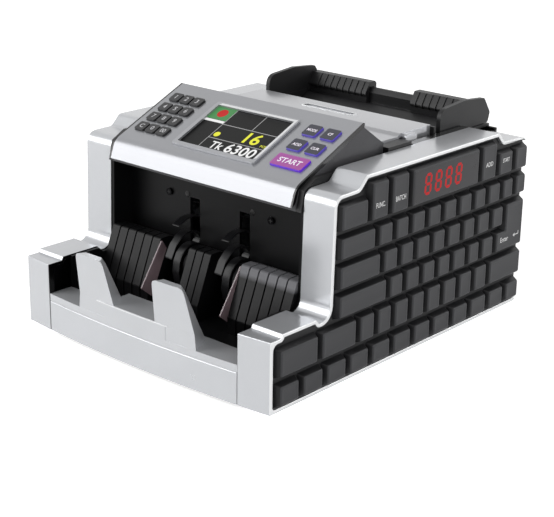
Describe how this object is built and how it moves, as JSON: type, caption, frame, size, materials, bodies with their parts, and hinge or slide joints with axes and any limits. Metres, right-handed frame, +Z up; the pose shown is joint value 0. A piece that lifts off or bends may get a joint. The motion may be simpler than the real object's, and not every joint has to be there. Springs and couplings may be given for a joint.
{
  "type": "banknote counting machine",
  "caption": "Desk banknote counting machine with a top hopper, a tilted key panel with a colour screen, a front stacker pocket and keyboard-style side panels.",
  "frame": {"origin": "middle of the machine's box, on the surface that its rubber feet stand on", "axes": "+X to the right seen from the front, +Y to the back, +Z up"},
  "size_m": [0.276, 0.3374, 0.1888],
  "materials": {
    "silver_shell": "satin metallic silver paint on moulded plastic",
    "panel_silver": "satin metallic grey-silver paint",
    "bezel_silver": "bright polished silver paint",
    "black_moulding": "fine textured black moulding",
    "cap_grey": "fine textured dark grey moulding",
    "pod_grey": "fine textured dark grey moulding",
    "dark_window": "smoked window with glowing red digits",
    "screen_glass": "dark glossy screen with a lit picture",
    "foot_rubber": "matte black rubber",
    "clear_plate": "thin clear plastic",
    "wheel_plastic": "flexible black plastic",
    "bright_steel": "turned and rolled steel",
    "bush_brass": "turned brass",
    "feed_rubber": "grippy red-brown rubber",
    "roller_rubber": "black rubber",
    "motor_metal": "satin plated steel",
    "board_green": "green board lacquer",
    "inlet_black": "black moulding",
    "switch_red": "glossy red",
    "digit_key": "soft black keycap with white signs",
    "tool_key": "dark blue keycap with a violet lit edge",
    "start_key": "magenta keycap with a violet lit edge"
  },
  "bodies": {
    "root": {"base_tray": "black_moulding", "rubber_feet": "foot_rubber", "side_shell_left": "silver_shell", "side_shell_right": "silver_shell", "key_panel_left": "cap_grey", "key_panel_right": "cap_grey", "side_display_window": "dark_window", "front_bar": "silver_shell", "stacker_front_plate": "silver_shell", "stacker_well": "black_moulding", "stacker_guide_left": "black_moulding", "stacker_guide_right": "black_moulding", "stacker_guide_middle": "black_moulding", "note_deflectors": "clear_plate", "panel_pod": "pod_grey", "panel_fascia": "panel_silver", "display_frame": "bezel_silver", "display_screen": "screen_glass", "keypad_board": "board_green", "top_cover": "silver_shell", "rear_cover": "black_moulding", "hopper_tray": "black_moulding", "frame_plate_left": "bright_steel", "frame_plate_right": "bright_steel", "shaft_bearings": "bush_brass", "drive_belts": "roller_rubber", "motor": "motor_metal", "main_board": "board_green", "power_supply": "motor_metal", "power_inlet": "inlet_black", "case_screws": "bright_steel"},
    "key_1_cap": {"key_1": "digit_key"},
    "key_2_cap": {"key_2": "digit_key"},
    "key_3_cap": {"key_3": "digit_key"},
    "key_4_cap": {"key_4": "digit_key"},
    "key_5_cap": {"key_5": "digit_key"},
    "key_6_cap": {"key_6": "digit_key"},
    "key_7_cap": {"key_7": "digit_key"},
    "key_8_cap": {"key_8": "digit_key"},
    "key_9_cap": {"key_9": "digit_key"},
    "key_c_cap": {"key_c": "digit_key"},
    "key_0_cap": {"key_0": "digit_key"},
    "key_00_cap": {"key_00": "digit_key"},
    "key_mode_cap": {"key_mode": "tool_key"},
    "key_cf_cap": {"key_cf": "tool_key"},
    "key_add_cap": {"key_add": "tool_key"},
    "key_cur_cap": {"key_cur": "tool_key"},
    "key_start_cap": {"key_start": "start_key"},
    "stacker_wheels": {"stacker_shaft": "bright_steel", "stacker_wheel_left": "wheel_plastic", "stacker_wheel_right": "wheel_plastic"},
    "feed_roller": {"feed_shaft": "bright_steel", "feed_tyres": "feed_rubber"},
    "kicker_roller": {"kicker_shaft": "bright_steel", "kicker_tyres": "feed_rubber"},
    "pinch_roller": {"pinch_rollers": "roller_rubber"},
    "motor_rotor": {"motor_pulley": "bright_steel"},
    "guide_left": {"hopper_guide_left": "black_moulding"},
    "guide_right": {"hopper_guide_right": "black_moulding"},
    "power_rocker": {"rocker_switch": "switch_red"}
  },
  "joints": [
    {"name": "key_1_press", "type": "slide", "parent": "root", "child": "key_1_cap", "axis": [0, 0.4044, -0.9146], "range_m": [0, 0.001], "stiffness_N_per_m": 150},
    {"name": "key_2_press", "type": "slide", "parent": "root", "child": "key_2_cap", "axis": [0, 0.4044, -0.9146], "range_m": [0, 0.001], "stiffness_N_per_m": 150},
    {"name": "key_3_press", "type": "slide", "parent": "root", "child": "key_3_cap", "axis": [0, 0.4044, -0.9146], "range_m": [0, 0.001], "stiffness_N_per_m": 150},
    {"name": "key_4_press", "type": "slide", "parent": "root", "child": "key_4_cap", "axis": [0, 0.4044, -0.9146], "range_m": [0, 0.001], "stiffness_N_per_m": 150},
    {"name": "key_5_press", "type": "slide", "parent": "root", "child": "key_5_cap", "axis": [0, 0.4044, -0.9146], "range_m": [0, 0.001], "stiffness_N_per_m": 150},
    {"name": "key_6_press", "type": "slide", "parent": "root", "child": "key_6_cap", "axis": [0, 0.4044, -0.9146], "range_m": [0, 0.001], "stiffness_N_per_m": 150},
    {"name": "key_7_press", "type": "slide", "parent": "root", "child": "key_7_cap", "axis": [0, 0.4044, -0.9146], "range_m": [0, 0.001], "stiffness_N_per_m": 150},
    {"name": "key_8_press", "type": "slide", "parent": "root", "child": "key_8_cap", "axis": [0, 0.4044, -0.9146], "range_m": [0, 0.001], "stiffness_N_per_m": 150},
    {"name": "key_9_press", "type": "slide", "parent": "root", "child": "key_9_cap", "axis": [0, 0.4044, -0.9146], "range_m": [0, 0.001], "stiffness_N_per_m": 150},
    {"name": "key_c_press", "type": "slide", "parent": "root", "child": "key_c_cap", "axis": [0, 0.4044, -0.9146], "range_m": [0, 0.001], "stiffness_N_per_m": 150},
    {"name": "key_0_press", "type": "slide", "parent": "root", "child": "key_0_cap", "axis": [0, 0.4044, -0.9146], "range_m": [0, 0.001], "stiffness_N_per_m": 150},
    {"name": "key_00_press", "type": "slide", "parent": "root", "child": "key_00_cap", "axis": [0, 0.4044, -0.9146], "range_m": [0, 0.001], "stiffness_N_per_m": 150},
    {"name": "key_mode_press", "type": "slide", "parent": "root", "child": "key_mode_cap", "axis": [0, 0.4044, -0.9146], "range_m": [0, 0.001], "stiffness_N_per_m": 150},
    {"name": "key_cf_press", "type": "slide", "parent": "root", "child": "key_cf_cap", "axis": [0, 0.4044, -0.9146], "range_m": [0, 0.001], "stiffness_N_per_m": 150},
    {"name": "key_add_press", "type": "slide", "parent": "root", "child": "key_add_cap", "axis": [0, 0.4044, -0.9146], "range_m": [0, 0.001], "stiffness_N_per_m": 150},
    {"name": "key_cur_press", "type": "slide", "parent": "root", "child": "key_cur_cap", "axis": [0, 0.4044, -0.9146], "range_m": [0, 0.001], "stiffness_N_per_m": 150},
    {"name": "key_start_press", "type": "slide", "parent": "root", "child": "key_start_cap", "axis": [0, 0.4044, -0.9146], "range_m": [0, 0.001], "stiffness_N_per_m": 150},
    {"name": "stacker_spin", "type": "hinge", "parent": "root", "child": "stacker_wheels", "pos_m": [0, -0.05771, 0.072], "axis": [1, 0, 0], "continuous": true},
    {"name": "feed_spin", "type": "hinge", "parent": "root", "child": "feed_roller", "pos_m": [0, 0.06729, 0.12], "axis": [1, 0, 0], "continuous": true},
    {"name": "kicker_spin", "type": "hinge", "parent": "root", "child": "kicker_roller", "pos_m": [0, 0.11229, 0.11958], "axis": [1, 0, 0], "continuous": true},
    {"name": "pinch_spin", "type": "hinge", "parent": "root", "child": "pinch_roller", "pos_m": [0, 0.05043, 0.14408], "axis": [1, 0, 0], "continuous": true},
    {"name": "motor_spin", "type": "hinge", "parent": "root", "child": "motor_rotor", "pos_m": [0, 0.03529, 0.058], "axis": [1, 0, 0], "continuous": true},
    {"name": "guide_left_slide", "type": "slide", "parent": "root", "child": "guide_left", "axis": [1, 0, 0], "range_m": [0, 0.024]},
    {"name": "guide_right_slide", "type": "slide", "parent": "root", "child": "guide_right", "axis": [-1, 0, 0], "range_m": [0, 0.024]},
    {"name": "power_rock", "type": "hinge", "parent": "root", "child": "power_rocker", "pos_m": [-0.047, 0.16209, 0.042], "axis": [1, 0, 0], "range_deg": [-16, 0]}
  ],
  "couplings": [
    {"joint": "feed_spin", "follows": "motor_spin", "ratio": 0.5},
    {"joint": "kicker_spin", "follows": "motor_spin", "ratio": 0.5},
    {"joint": "stacker_spin", "follows": "motor_spin", "ratio": 0.33333},
    {"joint": "pinch_spin", "follows": "motor_spin", "ratio": -1.1111}
  ]
}
